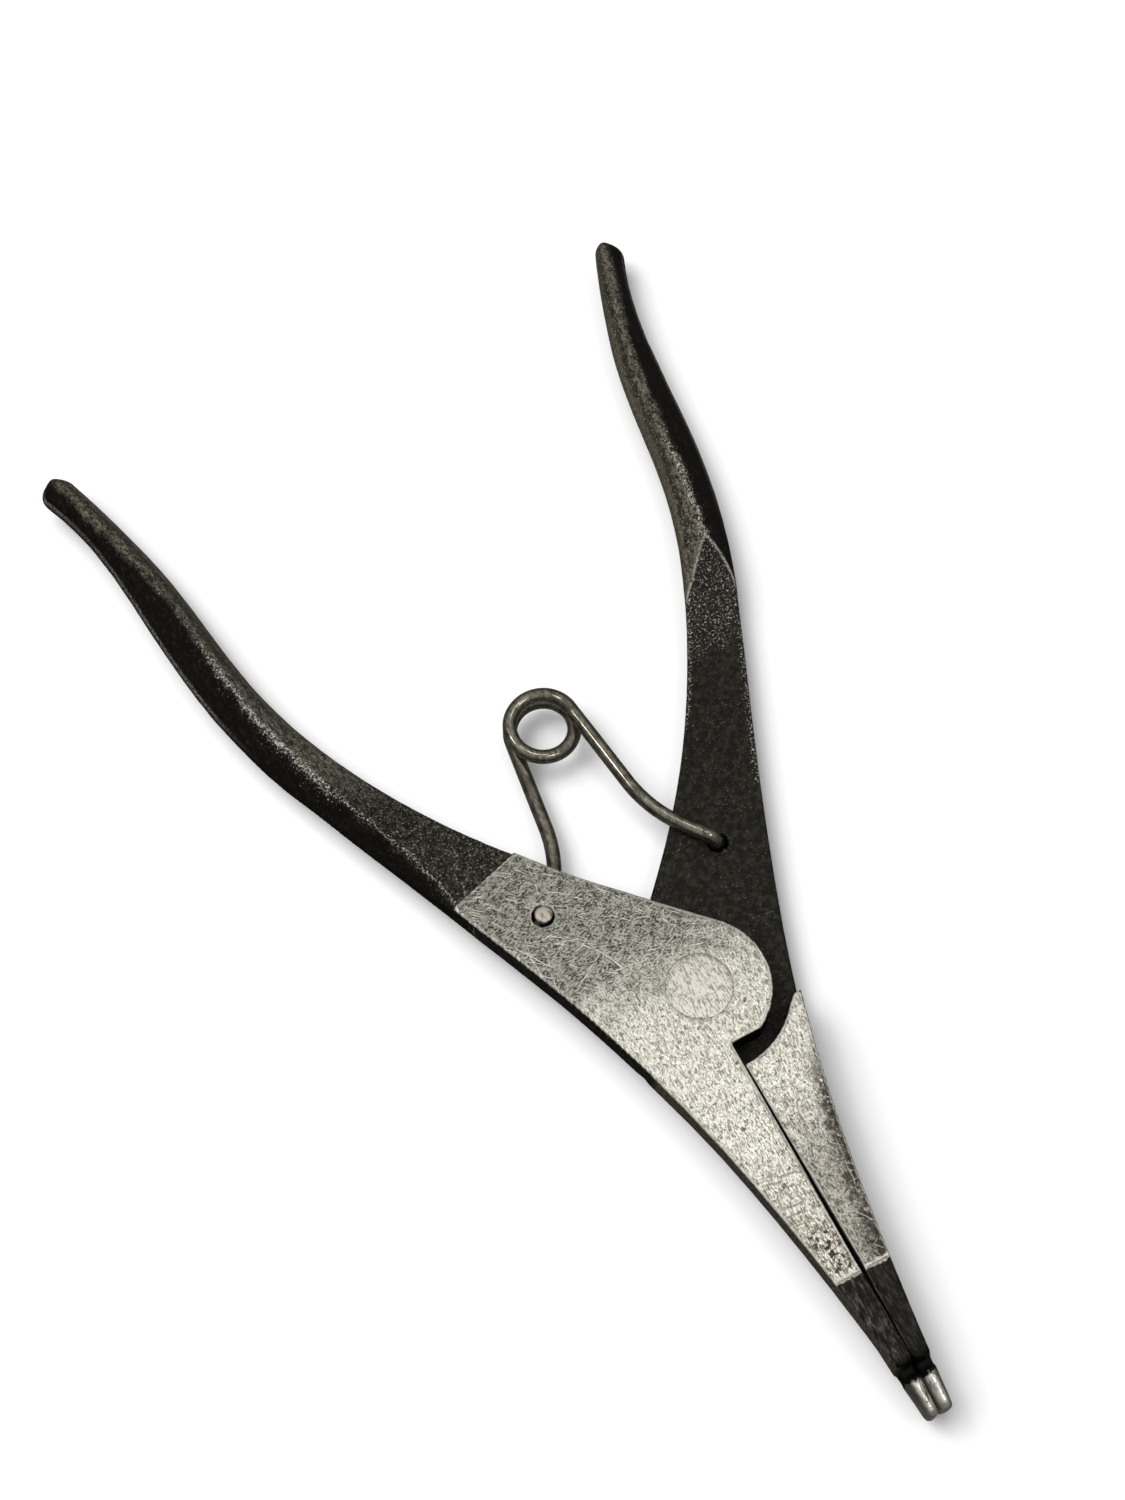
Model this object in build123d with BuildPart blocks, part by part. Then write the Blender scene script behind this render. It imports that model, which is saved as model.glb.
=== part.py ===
"""Retaining-ring pliers: two forged levers lapped on a flush rivet, held shut by a wire spring.

Millimetres. The origin is the pivot axis where it meets the back ground face, on which the
tool lies. +Y runs from the pivot to the handles, -Y to the jaw tips, +Z out of the front
ground face, and +X towards the back lever's handle.

Both levers are the same forging: the front lever is the back lever turned over, half a turn
about the tool's long axis. The two halves of the spring wire repeat in the same way.
"""

from build123d import *
from math import acos, atan2, cos, radians, sin, sqrt
import os

os.makedirs("parts", exist_ok=True)

# ---- joint ----
half_thickness = 5.85  # each lever's half of the lap joint
thickness = 2 * half_thickness
lap_clearance = 0.03  # each lap face stands this far off the middle plane
disc_radius = 12.0  # round end of each lever's lap plate
shoulder_radius = 14.85  # hollow arc of the full-thickness jaw, around the other disc
horn_angle = -40.0  # where that arc gives way to the horn's straight wall
horn_width = 1.5
jaw_gap = 0.08  # each jaw's inner face stands this far off the middle of the tool

# ---- rivet ----
rivet_radius = 4.4
rivet_head_radius = 5.6
rivet_head_depth = 1.2
running_clearance = 0.05

# ---- jaws: heights are half heights about the middle plane ----
shoulder_y = -9.0  # where the outer edge steps up to the full-thickness jaw
horn_y = shoulder_y + 0.9  # top of the horn's wall
crease_y = -51.8  # the ground flats end here and the jaws start to thin
groove_y = -67.0  # near side of the groove behind the tips
groove_width = 2.0
groove_lip_run = 0.4  # along the jaw, how far each wall of the groove slopes
groove_tail_run = 0.6
tip_y = -75.8
groove_lip_height = 5.0
groove_floor_height = 3.2
tip_root_height = 4.3
tip_end_height = 3.4

# ---- handles ----
flat_end_y = 58.0  # the inner face is flat up to here, and runs out into the grip
run_out_end_y = 76.0  # where the grip has its full thickness on that face
grip_y = 94.0  # and on the face that the plate is on
grip_half_thickness = 4.7
grip_taper_y = 125.0
grip_taper_half_thickness = 4.4
grip_end_half_thickness = 3.4
grip_end_slope = -0.25
plate_relief = 0.5  # the unground handle lies this far below the ground plate
relief_y = 20.0  # short of all of the unground handle
relief_start = (16.4, 34.6)  # the ground plate ends along a line from here
relief_stop = (28.6, 30.8)  # to here
grip_end = (56.8, 137.3)  # centre of the round end of the handle
grip_end_radius = 3.4
grip_end_lean = 20.0  # the handle's end points this many degrees outwards

# ---- spring ----
wire_radius = 1.25
spring_hole = (16.5, 22.5)
spring_hole_radius = 1.75
coil_y = 55.3
coil_radius = 5.85
turn_pitch = 2.7
leg_knee = (8.25, 32.2)  # each leg bends outwards here
knee_radius = 24.0
hook_radius = 2.2
hook_depth = 5.4  # how far each hook reaches beyond the middle plane

reach = 200.0  # cutters are longer than the tool
overrun = 1.0  # and end this far outside it
turn_over_axis = Axis((0, 0, half_thickness), (0, 1, 0))

# Edges of the back lever seen from the front, from the joint outwards.
outer_edge = [(14.3, shoulder_y), (23.1, 15.7), (36.2, 46.8), (48.3, 77.0), (52.6, 99.0), (55.8, 123.0)]
inner_edge = [(4.5, 22.1), (12.8, 31.5), (30.8, 59.0), (41.3, 86.5), (45.6, 111.0), (49.6, 126.0)]
jaw_edge = [(2.2, tip_y), (2.8, -69.0), (5.0, -52.0), (9.9, -25.6), (14.3, shoulder_y)]


def polar(radius, angle):
    """A point at an angle in degrees, counter-clockwise from +X."""
    return (radius * cos(radians(angle)), radius * sin(radians(angle)))


def tangent_point(point, radius):
    """Where the line from a point touches a circle round the origin, counter-clockwise of it."""
    distance = sqrt(point[0] ** 2 + point[1] ** 2)
    angle = atan2(point[1], point[0]) + acos(radius / distance)
    return (radius * cos(angle), radius * sin(angle))


def lever_outline():
    """The whole lever seen from the front."""
    disc_start = (jaw_gap, -sqrt(disc_radius**2 - jaw_gap**2))
    disc_leave = tangent_point(inner_edge[0], disc_radius)
    end_x, end_y = grip_end
    side_x, side_y = polar(grip_end_radius, -grip_end_lean)
    top_x, top_y = polar(grip_end_radius, 90 - grip_end_lean)
    with BuildSketch() as outline:
        with BuildLine():
            ThreePointArc(disc_start, (-disc_radius, 0), disc_leave)
            Line(disc_leave, inner_edge[0])
            Spline(*inner_edge, (end_x - side_x, end_y - side_y))
            ThreePointArc(
                (end_x - side_x, end_y - side_y),
                (end_x + top_x, end_y + top_y),
                (end_x + side_x, end_y + side_y),
            )
            Spline((end_x + side_x, end_y + side_y), *reversed(outer_edge))
            Spline(*reversed(jaw_edge))
            Line(jaw_edge[0], (jaw_gap, tip_y))
            Line((jaw_gap, tip_y), disc_start)
        make_face()
    return outline.sketch


def lap_outline():
    """Room for the other lever's plate: inside the hollow arc, past the horn, up to the grip."""
    arc_start = (0, -shoulder_radius)
    horn_foot = polar(shoulder_radius, horn_angle)
    horn_top = (horn_foot[0] + horn_width, horn_y)
    with BuildSketch() as lap:
        with BuildLine():
            ThreePointArc(arc_start, polar(shoulder_radius, (horn_angle - 90) / 2), horn_foot)
            Polyline(
                horn_foot,
                horn_top,
                (reach, horn_y),
                (reach, flat_end_y),
                (-reach, flat_end_y),
                (-reach, -shoulder_radius),
                arc_start,
            )
        make_face()
    return lap.sketch


def jaw_waste():
    """Side view of what is missing from the front of the thinned end of a jaw."""
    groove_end_y = groove_y - groove_width
    profile = [
        (crease_y, half_thickness),
        (groove_y, groove_lip_height),
        (groove_y - groove_lip_run, groove_floor_height),
        (groove_end_y + groove_tail_run, groove_floor_height),
        (groove_end_y, tip_root_height),
        (tip_y, tip_end_height),
        (tip_y - overrun, tip_end_height),
        (tip_y - overrun, thickness),
        (crease_y, thickness),
    ]
    with BuildSketch(Plane.YZ.offset(-reach / 2)) as waste:
        with Locations((0, half_thickness)):
            Polygon(*profile, align=None)
    return waste.sketch


def grip_waste(start_y, start_height, full_y):
    """Side view of what is missing from a handle's face, from where it starts to change."""
    end_y = grip_end[1] + grip_end_radius + overrun
    start = (start_y, half_thickness + start_height)
    full = (full_y, half_thickness + grip_half_thickness)
    taper = (grip_taper_y, half_thickness + grip_taper_half_thickness)
    end = (end_y, half_thickness + grip_end_half_thickness)
    with BuildSketch(Plane.YZ.offset(-reach / 2)) as waste:
        with BuildLine():
            Spline(start, full, tangents=[(1, 0), (1, 0)])
            Spline(full, taper, end, tangents=[(1, 0), (1, grip_end_slope)])
            Polyline(end, (end_y, 2 * thickness), (start_y, 2 * thickness), start)
        make_face()
    return waste.sketch


def relief_outline():
    """Seen from the front, everything beyond the line where the ground plate ends."""
    along = Vector(*relief_stop) - Vector(*relief_start)
    with BuildSketch(Plane(origin=relief_start, x_dir=along, z_dir=(0, 0, 1))) as relief:
        Rectangle(reach, reach, align=(Align.CENTER, Align.MIN))
    return relief.sketch


def rivet_profile(clearance):
    """Half section of the rivet, or of its hole, with the given room all round."""
    head = rivet_head_radius + clearance
    shank = rivet_radius + clearance
    with BuildSketch(Plane.XZ) as profile:
        Polygon(
            (0, 0),
            (head, 0),
            (shank, rivet_head_depth),
            (shank, thickness - rivet_head_depth),
            (head, thickness),
            (0, thickness),
            align=None,
        )
    return profile.sketch


def lever(hole_clearance):
    """The back lever: lower half of the joint, right-hand handle and full-thickness jaw."""
    with BuildPart() as forging:
        add(lever_outline())
        extrude(amount=thickness)
        # The lap: everything above the middle, out to the arc and up to where the grip swells.
        with BuildSketch(Plane.XY.offset(half_thickness - lap_clearance)):
            add(lap_outline())
        extrude(amount=thickness, mode=Mode.SUBTRACT)
        # The grip swells and tapers in side view, on the front and on the back.
        front_waste = extrude(
            grip_waste(flat_end_y, -lap_clearance, run_out_end_y), amount=reach, mode=Mode.PRIVATE
        )
        back_waste = extrude(
            grip_waste(relief_y, half_thickness - plate_relief, grip_y), amount=reach, mode=Mode.PRIVATE
        ).mirror(Plane.XY.offset(half_thickness))
        # Only beyond the ground plate is the back of the handle below its plane.
        relief = extrude(relief_outline(), amount=half_thickness, mode=Mode.PRIVATE)
        add(front_waste, mode=Mode.SUBTRACT)
        add(back_waste & relief, mode=Mode.SUBTRACT)
        # The jaw thins from the crease to the tip, with a groove behind the tip.
        thinning = extrude(jaw_waste(), amount=reach, mode=Mode.PRIVATE)
        add(thinning, mode=Mode.SUBTRACT)
        add(thinning.mirror(Plane.XY.offset(half_thickness)), mode=Mode.SUBTRACT)
        # Holes for the rivet and for the spring's hook.
        with BuildSketch(Plane.XZ):
            add(rivet_profile(hole_clearance))
        revolve(axis=Axis.Z, mode=Mode.SUBTRACT)
        with Locations((*spring_hole, half_thickness)):
            Hole(spring_hole_radius)
    return forging.part


with BuildPart() as back_lever:
    add(lever(running_clearance))
back_lever.part.label = "back_lever"
export_step(back_lever.part, "parts/back_lever.step")

with BuildPart() as front_lever:
    add(lever(0).rotate(turn_over_axis, 180))
front_lever.part.label = "front_lever"
export_step(front_lever.part, "parts/front_lever.step")

with BuildPart() as pivot_rivet:
    add(rivet_profile(0))
    revolve(axis=Axis.Z)
pivot_rivet.part.label = "pivot_rivet"
export_step(pivot_rivet.part, "parts/pivot_rivet.step")


def spring_half():
    """Right half of the spring wire: its hook through the back lever, its leg and most of a turn."""
    level = half_thickness + turn_pitch / 2
    touch_x, touch_y = tangent_point((leg_knee[0], leg_knee[1] - coil_y), coil_radius)
    hook_foot = (*spring_hole, half_thickness - hook_depth)
    touch = (touch_x, coil_y + touch_y, level)
    with BuildPart() as half:
        with BuildLine() as path:
            FilletPolyline(
                hook_foot,
                (*spring_hole, level),
                (*leg_knee, level),
                touch,
                radius=[hook_radius, knee_radius],
            )
            ThreePointArc(
                touch,
                (-coil_radius, coil_y, level),
                (0, coil_y - coil_radius, level),
            )
        with BuildSketch(Plane(origin=path.wire() @ 0, z_dir=path.wire() % 0)):
            Circle(wire_radius)
        sweep()
    return half.part


with BuildPart() as spring_back_half:
    add(spring_half())
spring_back_half.part.label = "spring_back_half"
export_step(spring_back_half.part, "parts/spring_back_half.step")

with BuildPart() as spring_front_half:
    add(spring_half().rotate(turn_over_axis, 180))
spring_front_half.part.label = "spring_front_half"
export_step(spring_front_half.part, "parts/spring_front_half.step")
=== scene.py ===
"""Retaining-ring pliers lying on a pale floor: forged levers, a flush rivet and a wire spring.

Shapes are worked out in millimetres and turned into metres as each mesh is made. Both levers
are one forging, worked out in a frame of its own: x towards its handle's side, y towards the
handles, z up from its ground plate. That is the back lever as it lies. The front lever is the
same forging turned over about the tool's long axis.
"""

from math import cos, pi, radians, sin

import bmesh
import bpy
import numpy as np
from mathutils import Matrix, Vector


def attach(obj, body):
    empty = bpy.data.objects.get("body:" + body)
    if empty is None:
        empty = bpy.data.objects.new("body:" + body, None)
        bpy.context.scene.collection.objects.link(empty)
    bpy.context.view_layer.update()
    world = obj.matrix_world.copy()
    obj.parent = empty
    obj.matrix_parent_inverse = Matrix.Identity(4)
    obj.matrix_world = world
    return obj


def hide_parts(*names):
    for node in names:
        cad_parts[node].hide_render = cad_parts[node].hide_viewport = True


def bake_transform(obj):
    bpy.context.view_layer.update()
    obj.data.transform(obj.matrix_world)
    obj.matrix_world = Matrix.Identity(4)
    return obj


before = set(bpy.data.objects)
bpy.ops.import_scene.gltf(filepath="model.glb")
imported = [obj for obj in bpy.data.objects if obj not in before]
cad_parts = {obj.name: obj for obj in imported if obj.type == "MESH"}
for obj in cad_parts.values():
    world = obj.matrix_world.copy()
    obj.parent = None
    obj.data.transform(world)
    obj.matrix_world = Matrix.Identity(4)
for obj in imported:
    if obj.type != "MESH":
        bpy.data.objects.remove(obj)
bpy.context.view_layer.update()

MM = 0.001

# ---- the lever ----
half_thickness = 5.85
thickness = 2 * half_thickness
lap_clearance = 0.03
ground_inset = 0.05  # the ground faces lie this far under the rivet's heads
grid_step = 0.36
grid_margin = 1.1
outline_level = 5.0  # a level cut here shows the whole lever
jaw_level = 9.0  # and here the full-thickness jaw and the grip

handle_y = 15.0  # the handle's edges are traced from here
shoulder_y = -8.4  # the jaw has its full thickness beyond here
inner_face_y = -11.0  # and its inner face faces the other jaw's
crease_y = -51.8
groove_y = -67.0
groove_width = 2.0
groove_lip_height = 5.0
groove_floor_height = 3.2
tip_y = -75.8
tip_root_height = 4.3
tip_end_height = 3.4

run_out_y = 57.0  # the milled lap face starts to rise here, on the cutter's radius
cutter_radius = 31.0
plate_end = np.array([(16.4, 34.6), (28.6, 30.8)])
grip_end = np.array([58.0, 140.5])  # the far end of the handle
grip_end_radius = 3.4
forging_blur = 0.9  # the forged facets meet in a blunt edge of about this radius
wave_lengths = (7, 2.4, 1.1)  # of the forged surface's unevenness
wave_heights = (0.1, 0.05, 0.03)
tip_rounding = 1.3
corner_rounding = 0.8
run_out_rounding = 0.3
hole_rounding = 0.2
grip_end_direction = np.array([sin(radians(20)), cos(radians(20))])

# The ridge along the handle, from the plate's outer corner to the end of the grip.
ridge = np.array([
    (27.3, 27.0), (28.9, 36.0), (31.5, 44.3), (34.8, 52.6), (37.7, 59.6), (41.2, 69.5),
    (43.9, 80.0), (45.4, 90.0), (47.4, 103.5), (50.3, 116.8), (53.9, 129.0), (57.5, 142.0),
])

# Heights above the middle plane along the forged handle, as (y, height).
crest_heights = ((0, 5.35), (40, 5.35), (94, 4.7), (125, 4.4), (142, 3.4))
outer_edge_heights = ((22, 5.35), (30, 3.2), (44, 1.2), (60, 0.7))
inner_edge_heights = ((31, 5.2), (36, 4.4), (50, 2.6), (60, 1.7), (75, 1.0), (92, 0.8))
lap_edge_heights = ((50, 1.4), (90, 0.8))

# The front lever's handle sways a little to one side: (y, sideways) along it.
front_lever_sway = ((8, 0), (25, 0.4), (50, 0.4), (70, 0.2), (100, -0.3), (125, -0.7), (140, -0.8))
# The inner corner of the back lever's grip end is cut away along this line.
cut_corner = np.array([(49.9, 126.0), (55.5, 140.2)])
# Along the tool: half the gap between the jaws, and the rounding of the lever's edges.
gap_widths = ((tip_y, 0.25), (-69, 0.14), (-66, 0.06), (-58, 0.18), (-50, 0.33), (-30, 0.18), (-12, 0.06))
edge_radii = ((tip_y, 1.4), (-69, 1.2), (-67, 0.5), (-60, 0.35), (45, 0.35), (75, 1.3))
groove_ragged_reach = 4.0  # the groove's walls wander within this distance of it
# How far the outer side of each prong is trimmed, and how much short of the CAD tip it ends.
front_prong_trim, front_prong_short = 0.35, 0.1
back_prong_trim, back_prong_short = -0.3, 0.3
# The jaw's outer face leans in by this slope, from this far above the middle plane.
front_jaw_lean = ((-50, 0.3), (-30, 0.24), (-9, 0.2))
front_lean_start = -1.1
back_jaw_lean = ((-50, 0.1), (-9, 0.1))
back_lean_start = 3.0

# ---- the rivet ----
rivet_radius = 4.4
rivet_head_radius = 5.6
rivet_head_depth = 1.2

# ---- the spring ----
spring_hole = (16.5, 22.5)
spring_hole_radius = 1.82
wire_radius = 1.25
coil_centre = (0.0, 55.3)
coil_radius = 5.6
coil_half_wrap = radians(264.1)
coil_half_rise = 2.0
leg_knee = (8.7, 32.5)
knee_radius = 24.0
leg_height = 1.32  # above the middle plane, where a leg meets its hook
hook_radius = 2.2
hook_depth = 5.72
hook_end_shift = (0.1, 0.33)  # the hook's end leans to one side of its hole
hook_end_radius = 1.55  # and is a little mushroomed


# ---------------------------------------------------------------- fields and meshes

def smooth_step(low, high, value):
    t = np.clip((value - low) / (high - low), 0, 1)
    return t * t * (3 - 2 * t)


def smooth_max(a, b, radius):
    """The larger of two fields, rounding the edge where they meet."""
    return np.maximum(a, b) + np.maximum(radius - np.abs(a - b), 0) ** 2 / (4 * radius)


def smooth_min(a, b, radius):
    return -smooth_max(-a, -b, radius)


def along_y(y, *points):
    """A value that changes along the lever, through (y, value) points."""
    places, values = zip(*points)
    return np.interp(y, places, values)


def level_cut(node, level):
    """The line segments where a CAD node's mesh meets a level plane, in millimetres."""
    mesh = bmesh.new()
    mesh.from_mesh(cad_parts[node].data)
    geometry = list(mesh.verts) + list(mesh.edges) + list(mesh.faces)
    cut = bmesh.ops.bisect_plane(mesh, geom=geometry, plane_co=(0, 0, level * MM), plane_no=(0, 0, 1))
    edges = [e for e in cut["geom_cut"] if isinstance(e, bmesh.types.BMEdge)]
    segments = np.array([[v.co[:2] for v in e.verts] for e in edges]) / MM
    mesh.free()
    return segments


def distance_to(segments, x, y):
    """Distance in the plane from each point of a grid to the nearest of some segments."""
    nearest = np.full(x.shape, np.inf)
    for (ax, ay), (bx, by) in segments:
        length_squared = (bx - ax) ** 2 + (by - ay) ** 2
        if length_squared < 1e-12:
            continue
        t = np.clip(((x - ax) * (bx - ax) + (y - ay) * (by - ay)) / length_squared, 0, 1)
        dx = x - ax - t * (bx - ax)
        dy = y - ay - t * (by - ay)
        np.minimum(nearest, dx * dx + dy * dy, out=nearest)
    return np.sqrt(nearest)


def is_inside(segments, x, y):
    """Whether each grid point is inside the closed loops that the segments make."""
    inside = np.zeros(x.shape, bool)
    ya = segments[:, 0, 1]
    yb = segments[:, 1, 1]
    for row in range(y.shape[1]):
        level = y[0, row]
        straddling = segments[(ya > level) != (yb > level)]
        (ax, ay), (bx, by) = straddling[:, 0].T, straddling[:, 1].T
        crossings = np.sort(ax + (level - ay) / (by - ay) * (bx - ax))
        inside[:, row] = np.searchsorted(crossings, x[:, row]) % 2 == 1
    return inside


def signed_distance(segments, x, y):
    """Negative inside the closed loops that the segments make."""
    return np.where(is_inside(segments, x, y), -1, 1) * distance_to(segments, x, y)


def polyline(points):
    return np.stack([points[:-1], points[1:]], axis=1)


def blur(values, radius):
    """A height map averaged over a small round patch."""
    reach = int(np.ceil(radius / grid_step))
    padded = np.pad(values, reach, mode="edge")
    total = np.zeros_like(values)
    weight = 0
    nx, ny = values.shape
    for i in range(-reach, reach + 1):
        for j in range(-reach, reach + 1):
            share = np.exp(-2 * (i * i + j * j) * (grid_step / radius) ** 2)
            total += share * padded[reach + i:reach + i + nx, reach + j:reach + j + ny]
            weight += share
    return total / weight


def undulation(x, y, scale, seed):
    """Smooth random waves of about the given length, from -1 to 1."""
    lattice = np.random.default_rng(seed).uniform(-1, 1, (400, 400))
    u = x / scale + 150
    v = y / scale + 150
    i = np.floor(u).astype(int)
    j = np.floor(v).astype(int)
    s = smooth_step(0, 1, u - i)
    t = smooth_step(0, 1, v - j)
    low = lattice[i, j] * (1 - s) + lattice[i + 1, j] * s
    high = lattice[i, j + 1] * (1 - s) + lattice[i + 1, j + 1] * s
    return low * (1 - t) + high * t


def sample(values, lowest, points):
    """A height map's values at points in the plane."""
    u = (points[:, 0] - lowest[0]) / grid_step
    v = (points[:, 1] - lowest[1]) / grid_step
    i = np.clip(np.floor(u).astype(int), 0, values.shape[0] - 2)
    j = np.clip(np.floor(v).astype(int), 0, values.shape[1] - 2)
    s = u - i
    t = v - j
    low = values[i, j] * (1 - s) + values[i + 1, j] * s
    high = values[i, j + 1] * (1 - s) + values[i + 1, j + 1] * s
    return low * (1 - t) + high * t


def surface_nets(field, lowest, step):
    """The surface where a field on a grid is zero, as vertices and quads."""
    inside = field < 0
    nx, ny, nz = field.shape
    corners = sum(
        inside[i:nx - 1 + i, j:ny - 1 + j, k:nz - 1 + k].astype(np.int8)
        for i in (0, 1) for j in (0, 1) for k in (0, 1)
    )
    cells = np.argwhere((corners > 0) & (corners < 8))
    index = np.full((nx - 1, ny - 1, nz - 1), -1, np.int64)
    index[tuple(cells.T)] = np.arange(len(cells))
    total = np.zeros((len(cells), 3))
    count = np.zeros(len(cells))
    quads = []
    for axis in range(3):
        along, side_a, side_b = (np.eye(3, dtype=int)[(axis + i) % 3] for i in range(3))
        for a in (0, 1):
            for b in (0, 1):
                start = cells + a * side_a + b * side_b
                low = field[tuple(start.T)]
                high = field[tuple((start + along).T)]
                crosses = (low < 0) != (high < 0)
                t = np.where(crosses, low / np.where(crosses, low - high, 1), 0)
                total += crosses[:, None] * (a * side_a + b * side_b + t[:, None] * along)
                count += crosses
        # One quad round each grid edge that crosses the surface.
        ends = []
        for e in (0, 1):
            spans = [slice(e, n - 1 + e) if a else slice(1, n - 1) for a, n in zip(along, field.shape)]
            ends.append(inside[tuple(spans)])
        edges = np.argwhere(ends[0] != ends[1])
        outward = ends[0][tuple(edges.T)]
        corner = edges + (1 - along)
        around = [corner - side_a - side_b, corner - side_b, corner, corner - side_a]
        quad = np.stack([index[tuple(c.T)] for c in around], axis=1)
        quad[~outward] = quad[~outward][:, ::-1]
        quads.append(quad)
    vertices = (cells + total / count[:, None]) * step + lowest
    return vertices, np.concatenate(quads)


def new_piece(name, vertices, faces):
    """A smooth mesh object, from vertices in millimetres."""
    mesh = bpy.data.meshes.new(name)
    mesh.from_pydata((np.asarray(vertices) * MM).tolist(), [], [tuple(f) for f in faces])
    mesh.update()
    mesh.shade_smooth()
    piece = bpy.data.objects.new(name, mesh)
    bpy.context.scene.collection.objects.link(piece)
    return piece


def set_attribute(piece, name, values):
    kind, key = ("FLOAT_VECTOR", "vector") if values.ndim == 2 else ("FLOAT", "value")
    attribute = piece.data.attributes.new(name, kind, "POINT")
    attribute.data.foreach_set(key, values.astype(np.float32).ravel())


# ---------------------------------------------------------------- the levers

class Lever:
    """One forging: its field over a grid, and the maps that tell its finishes apart."""

    def __init__(self, turned_over):
        self.turned_over = turned_over
        segments = level_cut("back_lever", outline_level)
        middle = segments.mean(axis=1)
        in_rivet = np.hypot(middle[:, 0], middle[:, 1]) < rivet_head_radius + 1
        from_hole = np.hypot(middle[:, 0] - spring_hole[0], middle[:, 1] - spring_hole[1])
        in_spring = from_hole < spring_hole_radius + 1
        segments = segments[~in_rivet & ~in_spring]
        middle = segments.mean(axis=1)
        jaw_segments = level_cut("back_lever", jaw_level)
        jaw_segments = jaw_segments[jaw_segments[:, :, 1].mean(axis=1) < 0]

        low = np.append(segments.min(axis=(0, 1)), 0) - grid_margin
        high = np.append(segments.max(axis=(0, 1)), thickness) + grid_margin
        rows = (np.arange(low[i], high[i], grid_step) for i in (0, 1))
        x, y = np.meshgrid(*rows, indexing="ij")
        self.lowest = low
        self.z = np.arange(low[2], high[2], grid_step)

        # The two handles are not quite alike.
        if turned_over:
            x = x - along_y(y, *front_lever_sway)
        self.y = y

        outline = signed_distance(segments, x, y)
        jaw = signed_distance(jaw_segments, x, y)
        ridge_x = np.interp(middle[:, 1], ridge[:, 1], ridge[:, 0])
        on_handle = middle[:, 1] > handle_y
        inside = -np.sign(outline)
        self.outer = inside * distance_to(segments[on_handle & (middle[:, 0] > ridge_x)], x, y)
        self.inner = inside * distance_to(segments[on_handle & (middle[:, 0] <= ridge_x)], x, y)
        self.to_ridge = distance_to(polyline(ridge), x, y)
        self.beyond_ridge = x > np.interp(y, ridge[:, 1], ridge[:, 0])
        seed = 20 if turned_over else 10
        self.waves = [undulation(x, y, length, seed + i) for i, length in enumerate(wave_lengths)]

        along = plate_end[1] - plate_end[0]
        along = along / np.hypot(*along)
        self.past_plate = (y - plate_end[0, 1]) * along[0] - (x - plate_end[0, 0]) * along[1]
        to_end = (grip_end[0] - x, grip_end[1] - y)
        self.from_end = to_end[0] * grip_end_direction[0] + to_end[1] * grip_end_direction[1]

        outline = self.trim_outline(outline, x, y)
        self.plate_side, self.lap_side = self.heights()
        self.field = self.solid(outline, jaw, x, y)

    def trim_outline(self, outline, x, y):
        """The plan view's fine shape: the gap between the jaws, the tips and the handle's end."""
        gap = along_y(y, *gap_widths)
        outline = np.maximum(outline, np.where(y < inner_face_y, gap - x, outline))
        prong = 1 - smooth_step(tip_y + 2.8, groove_y + 1, y)
        trim = front_prong_trim if self.turned_over else back_prong_trim
        short = front_prong_short if self.turned_over else back_prong_short
        outline = outline + prong * smooth_step(0.8, 2, x) * trim
        outline = smooth_max(outline, tip_y + short - y, tip_rounding)
        if not self.turned_over:
            along = cut_corner[1] - cut_corner[0]
            along = along / np.hypot(*along)
            corner = (cut_corner[0, 0] - x) * along[1] - (cut_corner[0, 1] - y) * along[0]
            outline = np.where(y > 110, smooth_max(outline, corner, corner_rounding), outline)
        handle = smooth_step(45, 70, y)
        return outline + handle * (0.07 * self.waves[0] + 0.03 * self.waves[1])

    def forged_height(self, edge_outer, edge_inner):
        """Height of the forged handle above its middle plane: two facets meet at the ridge."""
        crest = along_y(self.y, *crest_heights)
        outer_share = self.outer / (np.abs(self.outer) + self.to_ridge + 1e-6)
        inner_share = self.inner / (np.abs(self.inner) + self.to_ridge + 1e-6)
        share = np.where(self.beyond_ridge, outer_share, inner_share)
        edge = np.where(self.beyond_ridge, edge_outer, edge_inner)
        height = edge + (crest - edge) * share
        in_from_edge = np.clip(np.minimum(self.outer, self.inner), 0, grip_end_radius)
        dome = np.sqrt(grip_end_radius**2 - (grip_end_radius - in_from_edge) ** 2)
        near_end = 1 - smooth_step(3, 12, self.from_end)
        height = height + near_end * (smooth_min(height, 0.5 + dome, 0.6) - height)
        return blur(height, forging_blur)

    def heights(self):
        """Heights above the middle plane on the plate's side and on the lap's side."""
        y = self.y
        edge_outer = along_y(y, *outer_edge_heights)
        edge_inner = along_y(y, *inner_edge_heights)
        forged = self.forged_height(edge_outer, edge_inner)
        rough = sum(size * wave for size, wave in zip(wave_heights, self.waves))
        plate = half_thickness - ground_inset
        past = smooth_step(-0.1, 0.1, self.past_plate)
        plate_side = plate + past * (np.minimum(forged + rough, plate) - plate)

        forged = self.forged_height(edge_outer, along_y(y, *lap_edge_heights)) + rough[::-1]
        run_out = np.maximum(y - run_out_y, 0) ** 2 / (2 * cutter_radius) - lap_clearance
        self.milled_edge = forged - run_out
        scuffed = 0.05 * self.waves[1] * smooth_step(56, 62, y)
        lap_side = smooth_min(forged, run_out + scuffed, run_out_rounding)

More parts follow.
